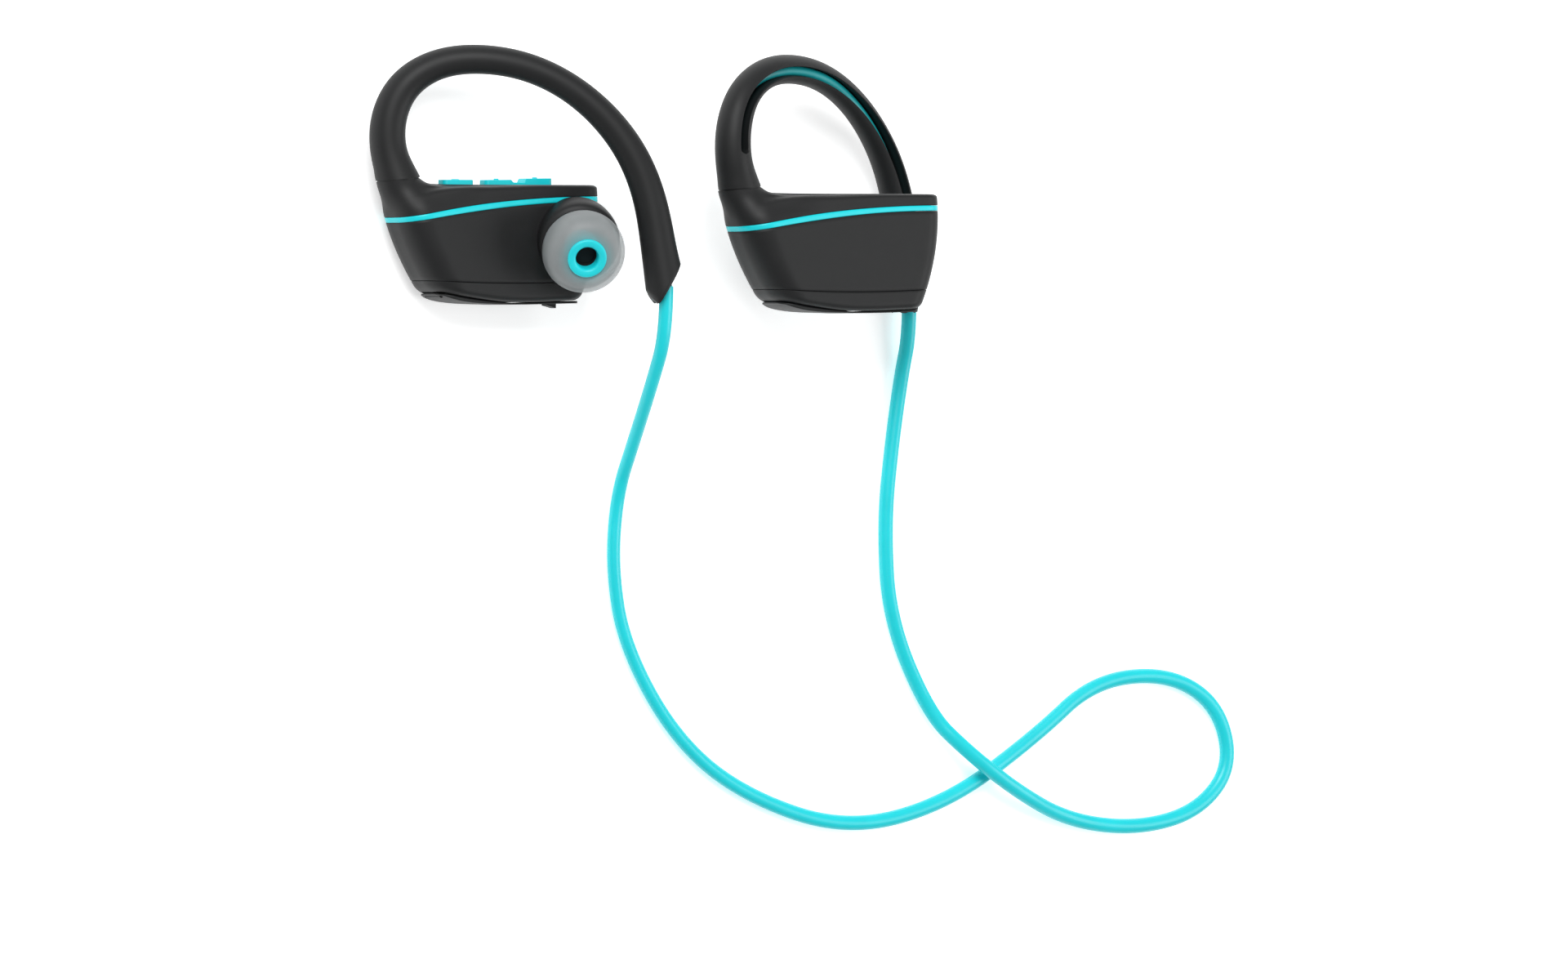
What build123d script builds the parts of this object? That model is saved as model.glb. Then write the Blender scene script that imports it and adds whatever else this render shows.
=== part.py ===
"""Over-ear sports earphones joined by a neck cord, lying on a table.

Row frame, millimetres: +X rearward along both earpieces, +Y towards the hooks' crowns, +Z up.
The origin is at the centre of the two earpieces' box, on the table.
Each earpiece is drawn in its own frame: x rearward, y up to the crown, z towards the head, with the
origin in the middle of the seam between hook and housing. The left one lies on its outer face; the
right one is the mirror image, outer face up.
"""
import math
import os

from build123d import *

os.makedirs("parts", exist_ok=True)

# ---- driving dimensions -------------------------------------------------------------------------
LEFT_SEAM = (-51.65, 0.15, 6.25)    # where the left earpiece's own origin lies
RIGHT_SEAM = (8.85, -1.25, 20.2)     # and the right one's

HALF_DEPTH = 6.25                   # half the housing's thickness
WALL = 1.2                          # housing wall
TOP_Y = -0.9                        # flat top edge of the housing
FLOOR_Y = -18.9                     # inside of the bezel's floor
NECK_R = 3.75                       # neck and hook at the seam
TRIM_T = 0.85                       # trim band's height
SEAM_Y = -17.7                      # seam between lower shell and bezel

HOOK_TURN = 21.0                    # hook plane turned towards the head, degrees
SLOT_W = 1.4                        # width of the hook's open slot
CABLE_R = 0.9                       # cable that lies in the slot
WIRE_R = 0.4                        # spring-steel core
WIRE_OFFSET = 1.6                   # core's offset towards the head

POD_R = 6.7                         # driver pod
POD_CENTRE = (31.4, -10.6, 8.0)     # middle of the pod
POD_BACK = -4.2                     # its closed back, along the nozzle axis from the middle
POD_JOINT = -0.4                    # where its cap meets the cup of the lower shell
POD_FRONT = 1.9
NOZZLE_END = 8.0
NOZZLE_AXIS = (-0.32, -0.31, 0.895)  # direction of the nozzle and the ear tip
NOZZLE_R = 2.45
NOZZLE_BORE_R = 1.75
TIP_R = 7.1                         # widest ring of the ear tip
TIP_END = 10.3                      # tip's mouth, measured from the pod's middle along the axis

BUTTON_TOP_Y = 0.4                  # top of the buttons
BUTTON_BASE_Y = -2.45               # and their underside
BUTTON_HALF_Z = 2.2
BUTTON_GAP = 0.2                    # gap round each button
POWER_X = (8.1, 15.0)               # power button, front and rear end
ROCKER_X = (16.4, 30.6)             # volume rocker, front and rear end
NOTCH_X = (23.1, 25.5)              # low bridge between the rocker's lobes
ROCKER_PIN_R = 0.4
ROCKER_PIN_Y = -1.5

DOOR_GAP = 0.15                     # gap between bezel and door
DOOR_HALF_Z = 4.9
DOOR_FRONT_X = 7.4
DOOR_REAR_X = 33.2
DOOR_PIN_R = 0.45
DOOR_PIN_X = 7.2
DOOR_PIN_Y = -20.15
KNUCKLE_R = 0.95

CORD_R = 1.3                        # neck cord

# hook's middle line in its own plane (along the hook plane, up) with the radius there
HOOK_STATIONS = [
    ((0.0, 0.0), 3.75),
    ((-1.4, 4.0), 3.45),
    ((-1.8, 9.0), 3.2),
    ((0.9, 15.9), 2.9),
    ((6.8, 19.9), 2.65),
    ((14.6, 20.9), 2.55),
    ((22.5, 19.6), 2.5),
    ((29.7, 16.3), 2.5),
    ((36.4, 10.8), 2.6),
    ((41.3, 4.1), 2.75),
    ((44.3, -3.6), 2.9),
    ((45.8, -11.4), 3.1),
    ((46.9, -18.0), 3.35),
    ((47.4, -23.5), 3.5),
]
MOUTH_CENTRE = (47.2, -18.5)        # middle of the tail's slanted mouth, in the hook's plane
MOUTH_NORMAL = (0.765, -0.644)      # way that the mouth faces
RELIEF_R = 1.75                     # strain relief in the tail
RELIEF_TOP = -13.2

# route of the neck cord from the left tail to the right tail
CORD_ROUTE = [
    (-7.58, -18.35, 23.16),
    (-7.6, -26.5, 23.2),
    (-7.0, -35.5, 17.0),
    (-5.5, -45.5, 8.0),
    (-5.0, -54.5, 1.3),
    (-6.0, -67.5, 1.3),
    (-3.5, -81.0, 1.3),
    (6.5, -97.0, 1.3),
    (20.0, -107.0, 1.3),
    (41.0, -113.5, 1.3),
    (61.5, -109.0, 1.3),
    (80.0, -97.0, 1.3),
    (91.5, -87.5, 1.3),
    (106.5, -86.0, 1.3),
    (117.0, -91.5, 1.3),
    (120.0, -102.5, 1.3),
    (113.0, -110.5, 1.3),
    (100.5, -113.5, 1.3),
    (86.5, -112.0, 1.3),
    (73.5, -106.5, 4.9),
    (63.5, -99.5, 4.9),
    (58.0, -93.0, 1.3),
    (50.0, -76.5, 1.3),
    (49.0, -59.5, 1.3),
    (50.5, -46.0, 1.3),
    (52.5, -33.5, 1.3),
    (53.0, -26.5, 3.2),
    (52.92, -19.75, 3.28),
]


# ---- placing ------------------------------------------------------------------------------------
def placed(solid, side):
    """The solid of an earpiece's own frame, put where that earpiece lies."""
    if side == "left":
        return Pos(*LEFT_SEAM) * solid
    return Pos(*RIGHT_SEAM) * mirror(solid, about=Plane.XY)


def save(name, solid, colour):
    """One STEP file for one sub-part."""
    solid = Compound(children=list(solid.solids())) if len(solid.solids()) > 1 else solid.solids()[0]
    solid.label = name
    solid.color = Color(*colour)
    export_step(solid, os.path.join("parts", name + ".step"))


BLACK = (0.05, 0.05, 0.05)
CYAN = (0.05, 0.8, 0.85)
GREY = (0.6, 0.62, 0.62)
STEEL = (0.6, 0.6, 0.62)
GREEN = (0.05, 0.3, 0.15)


# ---- housing ------------------------------------------------------------------------------------
# level, front end and rear end of the housing's outline
LEVELS = [
    (TOP_Y, -2.6, 37.2),
    (-3.5, -2.1, 37.7),
    (-8.2, -0.7, 37.4),
    (-12.7, 1.3, 36.9),
    (-17.2, 3.8, 35.7),
    (-21.4, 6.6, 33.9),
]
FRONT_CORNER_R = 4.6
REAR_CORNER_R = 3.1
FLAT_CUT = 0.03                     # planed off each side of the lofted body


def block(x_range, y_range, z_range):
    """Box between three pairs of limits."""
    size = [high - low for low, high in (x_range, y_range, z_range)]
    middle = [(high + low) / 2 for low, high in (x_range, y_range, z_range)]
    return Pos(*middle) * Box(*size)


def housing_section(level, front, rear, inset):
    """Rounded rectangle of the housing at one level, drawn in by inset and a little too deep."""
    width = rear - front - 2 * inset
    depth = 2 * (HALF_DEPTH + FLAT_CUT - inset)
    plane = Plane(origin=((front + rear) / 2, level, 0), x_dir=(1, 0, 0), z_dir=(0, 1, 0))
    sketch = Rectangle(width, depth)
    sketch = fillet(sketch.vertices().group_by(Axis.X)[0], FRONT_CORNER_R - inset)
    sketch = fillet(sketch.vertices().group_by(Axis.X)[-1], REAR_CORNER_R - inset)
    return plane * sketch


def housing_body(inset):
    """Smooth loft through all the housing's levels, planed to its depth so that both sides are flat."""
    body = loft([housing_section(level, front, rear, inset) for level, front, rear in LEVELS])
    return body & block((-12, 50), (-26, 4), (inset - HALF_DEPTH, HALF_DEPTH - inset))


def slab(low, high):
    """Everything between two lines drawn across the housing, all through its thickness."""
    corners = [Vector(x, y) for x, y in low] + [Vector(x, y) for x, y in reversed(high)]
    return Pos(0, 0, -12) * extrude(make_face(Polyline(*corners, close=True)), 24)


def shifted(line, rise):
    """The same line moved up by rise."""
    return [(x, y + rise) for x, y in line]


def level_line(level):
    """A straight line across the housing at one level."""
    return [(-8.0, level), (46.0, level)]


def upright(x, z, radius, low, high):
    """Round bar along y."""
    return extrude(Plane(origin=(x, low, z), z_dir=(0, 1, 0)) * Circle(radius), high - low)


def crosswise(x, y, radius, half_length):
    """Round bar along z."""
    return Pos(x, y, 0) * Cylinder(radius, 2 * half_length)


BAND_LINE = [(-8.0, -7.2), (0.0, -6.8), (6.0, -5.8), (14.0, -4.7), (22.0, -3.9), (30.0, -3.5), (46.0, -3.3)]
UNDERSIDE = [(-8.0, -18.9), (5.0, -19.5), (20.0, -20.5), (34.0, -21.0), (46.0, -21.2)]

BODY = housing_body(0.0) & slab(UNDERSIDE, level_line(3.0))
INNER = housing_body(WALL) & slab(level_line(FLOOR_Y), level_line(TOP_Y - WALL))
NECK = upright(0, 0, NECK_R, -5.0, 0.0) - INNER
SHELL = (BODY - INNER) + NECK
UPPER_ZONE = slab(shifted(BAND_LINE, TRIM_T / 2), level_line(3.0))
BAND_ZONE = slab(shifted(BAND_LINE, -TRIM_T / 2), shifted(BAND_LINE, TRIM_T / 2))
LOWER_ZONE = slab(level_line(SEAM_Y), shifted(BAND_LINE, -TRIM_T / 2))
BEZEL_ZONE = slab(level_line(-23.0), level_line(SEAM_Y))


# ---- driver pod and ear tip ---------------------------------------------------------------------
NOZZLE_PLANE = Plane(origin=POD_CENTRE, x_dir=(0.895, 0, 0.32), z_dir=NOZZLE_AXIS)


def turned(profile):
    """Solid of revolution about the nozzle's axis; profile holds (radius, distance) points."""
    outline = Polyline(*[Vector(radius, distance) for radius, distance in profile], close=True)
    return NOZZLE_PLANE * revolve(Plane.XZ * make_face(outline), Axis.Z)


CUP_R = POD_R - 0.8
POD_SPACE = turned([(0, POD_BACK), (POD_R, POD_BACK), (POD_R, 5.0), (0, 5.0)])
POD_CUP = turned([
    (POD_R, POD_BACK), (POD_R, POD_JOINT), (CUP_R, POD_JOINT), (CUP_R, POD_BACK + 0.8),
    (1.0, POD_BACK + 0.8), (1.0, POD_BACK),
])
driver_pod = turned([
    (POD_R, POD_JOINT), (POD_R, 0.5), (5.4, POD_FRONT), (NOZZLE_R, POD_FRONT), (NOZZLE_R, NOZZLE_END),
    (NOZZLE_BORE_R, NOZZLE_END), (NOZZLE_BORE_R, 1.1), (5.2, 1.1), (CUP_R, 0.2), (CUP_R, POD_JOINT),
])
driver_basket = turned([
    (CUP_R, -3.4), (CUP_R, -0.9), (4.8, -0.9), (4.8, -2.8), (1.0, -2.8), (1.0, -3.4),
])
driver_magnet = turned([(3.4, -2.8), (3.4, -1.5), (0, -1.5), (0, -2.8)])
driver_diaphragm = turned([(CUP_R, -0.9), (CUP_R, -0.5), (0, 0.3), (0, -0.1), (4.8, -0.9)])
nozzle_mesh = turned([(NOZZLE_BORE_R, 7.1), (NOZZLE_BORE_R, 7.4), (0, 7.4), (0, 7.1)])

CORE_BORE_R = NOZZLE_R + 0.05
CORE_R = 3.1
tip_core = turned([
    (CORE_BORE_R, 2.6), (CORE_R, 2.6), (CORE_R, 7.6), (3.4, TIP_END), (1.95, TIP_END), (1.95, 8.2),
    (CORE_BORE_R, 8.2),
])
tip_dome = turned([
    (3.4, TIP_END), (4.9, 9.6), (6.2, 8.2), (6.9, 6.4), (TIP_R, 4.8), (6.9, 3.4), (6.3, 2.5),
    (5.9, 2.8), (6.3, 3.7), (6.4, 4.9), (6.2, 6.1), (5.6, 7.4), (4.6, 8.3), (3.2, 8.5),
])


# ---- ear hook -----------------------------------------------------------------------------------
TURN = math.radians(HOOK_TURN)


def hook_point(along, up, off=0.0):
    """Point of the hook's plane; off is the distance from the plane towards the head."""
    x = along * math.cos(TURN) - off * math.sin(TURN)
    z = along * math.sin(TURN) + off * math.cos(TURN)
    return Vector(x, up, z)


HOOK_NORMAL = hook_point(0, 0, 1)


def rounded_path(points):
    """Straight runs joined by arcs as large as the runs allow; the radii are returned too."""
    radii = []
    for before, corner, after in zip(points, points[1:], points[2:]):
        run_in = corner - before
        run_out = after - corner
        half_turn = math.radians(run_in.get_angle(run_out)) / 2
        radii.append(0.45 * min(run_in.length, run_out.length) / math.tan(half_turn))
    return FilletPolyline(*points, radius=radii), radii


def hook_solid():
    """Loft of circles along the hook's middle line."""
    centres = [hook_point(*centre) for centre, radius in HOOK_STATIONS]
    line = Spline(*centres, tangents=[Vector(0, 1, 0), hook_point(0.06, -1.0)])
    circles = []
    for centre, (place, radius) in zip(centres, HOOK_STATIONS):
        tangent = line.tangent_at(line.param_at_point(centre))
        circles.append(Plane(origin=centre, x_dir=HOOK_NORMAL, z_dir=tangent) * Circle(radius))
    return loft(circles)


def beside_hook_line(first, last, off):
    """Path beside the hook's middle line, from one station to another."""
    path, radii = rounded_path([hook_point(*centre, off) for centre, radius in HOOK_STATIONS[first:last]])
    return path


def swept(path, sketch):
    """A flat shape carried along a path in the hook's plane."""
    start = Plane(origin=path @ 0, x_dir=HOOK_NORMAL, z_dir=path % 0)
    return sweep(start * sketch, path=path)


def tail_cutter():
    """Everything beyond the tail's slanted mouth."""
    normal = hook_point(*MOUTH_NORMAL)
    plane = Plane(origin=hook_point(*MOUTH_CENTRE), x_dir=HOOK_NORMAL, z_dir=normal)
    return plane * Pos(0, 0, 10) * Box(30, 30, 20)


relief_start = hook_point(MOUTH_CENTRE[0], RELIEF_TOP)
strain_relief = extrude(
    Plane(origin=relief_start, z_dir=(0, -1, 0)) * Circle(RELIEF_R), RELIEF_TOP - MOUTH_CENTRE[1]
)
relief_space = extrude(Plane(origin=relief_start, z_dir=(0, -1, 0)) * Circle(RELIEF_R), 14)

slot_path = beside_hook_line(1, 12, 0.0)
wire_path = beside_hook_line(1, 11, WIRE_OFFSET)
hook_cable = swept(slot_path, Circle(CABLE_R)) - relief_space
hook_wire = swept(wire_path, Circle(WIRE_R)) - hook_cable - relief_space
SLOT = swept(slot_path, Circle(CABLE_R + 0.05)) + swept(slot_path, Pos(-2.5, 0) * Rectangle(5.0, SLOT_W))
ear_hook = hook_solid() - tail_cutter() - SLOT - hook_wire - relief_space


# ---- bottom of the housing ----------------------------------------------------------------------
def cover_plate(front):
    """Thin curved plate under the bezel, from a front end to the rear."""
    top = [(front, -19.65 - (front - 5.0) / 15.0), (20.0, -20.5), (DOOR_REAR_X, -20.97)]
    top = shifted(top, -DOOR_GAP)
    sides = Line(Vector(*top[0]), Vector(*top[1])) + Line(Vector(*top[1]), Vector(*top[2]))
    under = ThreePointArc(Vector(*top[2]), Vector(21.0, -22.0), Vector(*top[0]))
    plate = extrude(make_face(sides + under), DOOR_HALF_Z, both=True)
    return plate


port_door = cover_plate(DOOR_FRONT_X)
port_door += crosswise(DOOR_PIN_X, DOOR_PIN_Y, KNUCKLE_R, 2.6)
port_door += block((DOOR_PIN_X, DOOR_FRONT_X + 1.2), (-21.0, -20.2), (-2.6, 2.6))
port_door += block((29.0, 31.4), (-22.7, -21.3), (-1.3, 1.3))
port_door -= crosswise(DOOR_PIN_X, DOOR_PIN_Y, DOOR_PIN_R + 0.05, 4)
bottom_cover = cover_plate(DOOR_FRONT_X)
door_pin = crosswise(DOOR_PIN_X, DOOR_PIN_Y, DOOR_PIN_R, 4.2)

SCREW_PLACES = [(12.5, -3.2), (26.0, -3.2)]
SCREW_R = 0.7
BOSS_R = 1.6


def screws():
    """Two screws that hold the bezel to the lower shell."""
    group = []
    for x, z in SCREW_PLACES:
        head = upright(x, z, 1.3, -19.7, -19.0)
        group.append(head + upright(x, z, SCREW_R, -19.0, -14.5))
    return group


def bosses():
    """Posts in the lower shell that the screws go into."""
    posts = [upright(x, z, BOSS_R, SEAM_Y, -13.5) for x, z in SCREW_PLACES]
    webs = [block((x - 0.5, x + 0.5), (SEAM_Y, -13.5), (-HALF_DEPTH + 1.0, z)) for x, z in SCREW_PLACES]
    return posts[0] + posts[1] + webs[0] + webs[1]


# ---- controls and electronics of the left earpiece ----------------------------------------------
def button(x_range):
    """A button's block, rounded at its upper corners."""
    solid = block(x_range, (BUTTON_BASE_Y, BUTTON_TOP_Y), (-BUTTON_HALF_Z, BUTTON_HALF_Z))
    return fillet(solid.edges().filter_by(Axis.Y), 0.8)


def button_hole(x_range):
    """Opening of a button in the upper shell."""
    half = BUTTON_HALF_Z + BUTTON_GAP
    return block((x_range[0] - BUTTON_GAP, x_range[1] + BUTTON_GAP), (-3.0, 1.0), (-half, half))


ROCKER_MIDDLE = sum(ROCKER_X) / 2 + 0.8
power_button = button(POWER_X)
power_button += block((10.6, 12.4), (BUTTON_TOP_Y, BUTTON_TOP_Y + 0.2), (-0.9, 0.9))
volume_rocker = button(ROCKER_X)
volume_rocker -= block(NOTCH_X, (BUTTON_TOP_Y - 0.8, 1.0), (-4, 4))
for bump_x in (18.7, 28.0):
    volume_rocker += block((bump_x, bump_x + 1.8), (BUTTON_TOP_Y, BUTTON_TOP_Y + 0.2), (-0.9, 0.9))
volume_rocker -= crosswise(ROCKER_MIDDLE, ROCKER_PIN_Y, ROCKER_PIN_R + 0.05, 5)
rocker_pin = crosswise(ROCKER_MIDDLE, ROCKER_PIN_Y, ROCKER_PIN_R, 3.2)
BUTTON_HOLES = button_hole(POWER_X) + button_hole(ROCKER_X)
button_seal = block((6.6, 32.0), (-2.4, TOP_Y - WALL), (-3.6, 3.6)) - BUTTON_HOLES - rocker_pin

BOARD_Z = (-3.4, -2.6)
SWITCH_X = (11.5, 19.0, 28.2)
circuit_board = block((8.0, 30.0), (-13.0, -3.6), BOARD_Z)
tact_switches = [block((x - 1.3, x + 1.3), (-5.0, -3.35), (BOARD_Z[1], 0.8)) for x in SWITCH_X]
radio_module = block((10.0, 17.0), (-10.0, -6.0), (BOARD_Z[1], -1.4))
microphone = block((19.5, 22.0), (-8.2, -6.0), (BOARD_Z[1], -1.6))
usb_socket = block((15.5, 23.0), (-19.4, -13.9), (-1.4, 1.4))
usb_socket -= block((15.8, 22.7), (-20.0, -14.6), (-1.1, 1.1))
usb_socket += block((16.6, 21.9), (-18.6, -14.6), (-0.3, 0.3))
PORT_HOLE = block((15.4, 23.1), (-23.0, FLOOR_Y + 0.2), (-1.5, 1.5))
PIN_LUGS = block((5.4, 8.6), (-20.9, FLOOR_Y + 0.3), (-4.4, 4.4))
PIN_CLEARANCE = crosswise(DOOR_PIN_X, DOOR_PIN_Y, KNUCKLE_R + 0.2, 2.8)
PIN_CLEARANCE += block((DOOR_PIN_X, DOOR_FRONT_X + 1.6), (-22.0, -19.9), (-2.8, 2.8))

battery_cell = fillet(block((5.5, 23.5), (-16.5, -6.2), (-1.4, 4.4)).edges().filter_by(Axis.Y), 1.0)
protection_board = block((6.5, 16.5), (-13.2, -7.2), (-4.0, -3.2))


# ---- the two earpieces --------------------------------------------------------------------------
upper_shell = (SHELL & UPPER_ZONE) - POD_SPACE
trim_band = (SHELL & BAND_ZONE) - POD_SPACE
lower_shell = (SHELL & LOWER_ZONE) - POD_SPACE
lower_shell = lower_shell + POD_CUP + (bosses() - POD_SPACE)
bezel = SHELL & BEZEL_ZONE
for screw in screws():
    lower_shell -= screw
    bezel -= screw
    bezel -= upright(screw.center().X, SCREW_PLACES[0][1], 1.3, -23.0, -19.7)

COMMON = {
    "ear_hook": (ear_hook, BLACK),
    "hook_wire": (hook_wire, STEEL),
    "hook_cable": (hook_cable, CYAN),
    "strain_relief": (strain_relief, BLACK),
    "trim_band": (trim_band, CYAN),
    "lower_shell": (lower_shell, BLACK),
    "driver_pod": (driver_pod, BLACK),
    "driver_basket": (driver_basket, STEEL),
    "driver_magnet": (driver_magnet, STEEL),
    "driver_diaphragm": (driver_diaphragm, GREY),
    "nozzle_mesh": (nozzle_mesh, STEEL),
    "tip_core": (tip_core, CYAN),
    "tip_dome": (tip_dome, GREY),
    "shell_screws": (Compound(children=screws()), STEEL),
}
LEFT_ONLY = {
    "upper_shell": (upper_shell - BUTTON_HOLES - rocker_pin, BLACK),
    "bottom_bezel": (bezel - PORT_HOLE - PIN_CLEARANCE - door_pin, BLACK),
    "power_button": (power_button, CYAN),
    "volume_rocker": (volume_rocker, CYAN),
    "rocker_pin": (rocker_pin, STEEL),
    "button_seal": (button_seal, GREY),
    "tact_switches": (Compound(children=tact_switches), STEEL),
    "circuit_board": (circuit_board, GREEN),
    "radio_module": (radio_module, STEEL),
    "microphone": (microphone, STEEL),
    "usb_socket": (usb_socket, STEEL),
    "port_door": (port_door, BLACK),
    "door_pin": (door_pin, STEEL),
}
RIGHT_ONLY = {
    "upper_shell": (upper_shell, BLACK),
    "bottom_bezel": (bezel, BLACK),
    "battery_cell": (battery_cell, GREY),
    "protection_board": (protection_board, GREEN),
    "bottom_cover": (bottom_cover, BLACK),
}
for side, own in (("left", LEFT_ONLY), ("right", RIGHT_ONLY)):
    for name, (solid, colour) in {**COMMON, **own}.items():
        save(side + "_" + name, placed(solid, side), colour)


# ---- neck cord ----------------------------------------------------------------------------------
cord_path, cord_radii = rounded_path([Vector(*point) for point in CORD_ROUTE])
cord_start = Plane(origin=cord_path @ 0, z_dir=cord_path % 0)
neck_cord = sweep(cord_start * Circle(CORD_R), path=cord_path)
save("neck_cord", neck_cord, CYAN)
expected = math.pi * CORD_R ** 2 * cord_path.length
print("cord radii", [round(radius, 1) for radius in cord_radii])
print("cord length", round(cord_path.length, 1), "volume", round(neck_cord.volume, 1), round(expected, 1))
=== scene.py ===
"""Over-ear sports earphones on a neck cord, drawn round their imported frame.

Lengths in the functions are millimetres in an earpiece's own frame: x rearward, y towards the hook's
crown, z towards the head, with the origin in the middle of the seam between hook and housing. The
function to_world puts them into metres in the frame, and mirrors the right earpiece.
"""
import math

import bpy
import numpy as np
from mathutils import Matrix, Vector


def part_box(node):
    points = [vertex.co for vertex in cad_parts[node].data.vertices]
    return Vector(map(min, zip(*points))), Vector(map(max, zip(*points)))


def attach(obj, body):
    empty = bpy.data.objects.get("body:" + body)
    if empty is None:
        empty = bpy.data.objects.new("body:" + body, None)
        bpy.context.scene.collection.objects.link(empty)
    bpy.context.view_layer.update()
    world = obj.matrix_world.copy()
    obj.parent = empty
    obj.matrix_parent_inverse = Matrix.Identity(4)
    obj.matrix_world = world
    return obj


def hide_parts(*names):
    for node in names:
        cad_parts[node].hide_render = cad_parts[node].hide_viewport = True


bl_info = {
    "name": "Neckband Earphones",
    "version": (1, 0, 0),
    "blender": (4, 5, 0),
    "location": "View3D > Sidebar > Earphones",
    "description": "Builds over-ear sports earphones with a neck cord round their frame",
    "category": "Object",
}

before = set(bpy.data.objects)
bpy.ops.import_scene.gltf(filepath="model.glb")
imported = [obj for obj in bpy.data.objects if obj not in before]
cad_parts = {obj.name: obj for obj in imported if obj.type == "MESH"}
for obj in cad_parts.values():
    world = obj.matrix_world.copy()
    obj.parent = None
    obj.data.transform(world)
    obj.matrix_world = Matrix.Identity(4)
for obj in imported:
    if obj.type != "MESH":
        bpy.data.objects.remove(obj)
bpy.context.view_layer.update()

MM = 0.001
SIDES = ("left", "right")


def unit(vectors):
    """Each vector made one long."""
    vectors = np.asarray(vectors, float)
    return vectors / np.linalg.norm(vectors, axis=-1, keepdims=True)


# ---- sizes that belong to the frame
HALF_DEPTH = 6.25
WALL = 1.2
TOP_Y = -0.9
NECK_RX = 3.84
NECK_RZ = 3.6
SEAM_TILT = 0.1
SEAM_GAP = 0.13
HOOK_TURN = math.radians(21.0)
SCREWS_MIDDLE = (19.25, -17.1, -3.2)
POD_MIDDLE = np.array([31.4, -10.6, 8.0])
NOZZLE_AXIS = unit((-0.32, -0.31, 0.895))

# middle line of the hook in its own plane, with its radius: along, up, radius
HOOK_LINE = np.array([
    (0.0, 0.0, 3.6), (-1.4, 4.0, 3.26), (-1.8, 9.0, 3.13), (0.9, 15.9, 2.9), (6.8, 19.9, 2.65),
    (14.6, 20.9, 2.55), (22.5, 19.6, 2.5), (29.7, 16.3, 2.5), (36.4, 10.8, 2.6), (41.3, 4.1, 2.75),
    (44.3, -3.6, 2.9), (45.8, -11.4, 3.1), (47.05, -19.3, 3.4),
])

# route of the neck cord, in metres, as in the frame
CORD_ROUTE = [
    (-0.00758, -0.01835, 0.02316),
    (-0.0076, -0.0265, 0.0232),
    (-0.0070, -0.0355, 0.0170),
    (-0.0055, -0.0455, 0.0080),
    (-0.0050, -0.0545, 0.0013),
    (-0.0060, -0.0675, 0.0013),
    (-0.0035, -0.0810, 0.0013),
    (0.0065, -0.0970, 0.0013),
    (0.0200, -0.1070, 0.0013),
    (0.0410, -0.1135, 0.0013),
    (0.0615, -0.1090, 0.0013),
    (0.0800, -0.0970, 0.0013),
    (0.0915, -0.0875, 0.0013),
    (0.1065, -0.0860, 0.0013),
    (0.1170, -0.0915, 0.0013),
    (0.1200, -0.1025, 0.0013),
    (0.1130, -0.1105, 0.0013),
    (0.1005, -0.1135, 0.0013),
    (0.0865, -0.1120, 0.0013),
    (0.0735, -0.1065, 0.0049),
    (0.0635, -0.0995, 0.0049),
    (0.0580, -0.0930, 0.0013),
    (0.0500, -0.0765, 0.0013),
    (0.0490, -0.0595, 0.0013),
    (0.0505, -0.0460, 0.0013),
    (0.0525, -0.0335, 0.0013),
    (0.0530, -0.0265, 0.0032),
    (0.05292, -0.01975, 0.00328),
]


# ---- shader helper
class Value:
    """A number that changes over a surface: a socket whose sums and products are Math nodes."""

    def __init__(self, tree, socket):
        self.tree = tree
        self.socket = socket

    def _math(self, operation, first, second):
        node = self.tree.nodes.new("ShaderNodeMath")
        node.operation = operation
        for slot, term in zip(node.inputs, (first, second)):
            if isinstance(term, Value):
                self.tree.links.new(term.socket, slot)
            else:
                slot.default_value = term
        return Value(self.tree, node.outputs[0])

    def __add__(self, other):
        return self._math("ADD", self, other)

    def __sub__(self, other):
        return self._math("SUBTRACT", self, other)

    def __rsub__(self, other):
        return self._math("SUBTRACT", other, self)

    def __mul__(self, other):
        return self._math("MULTIPLY", self, other)

    __radd__ = __add__
    __rmul__ = __mul__

    def clipped(self):
        """The value held between 0 and 1."""
        node = self.tree.nodes.new("ShaderNodeClamp")
        self.tree.links.new(self.socket, node.inputs["Value"])
        return Value(self.tree, node.outputs[0])


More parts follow.
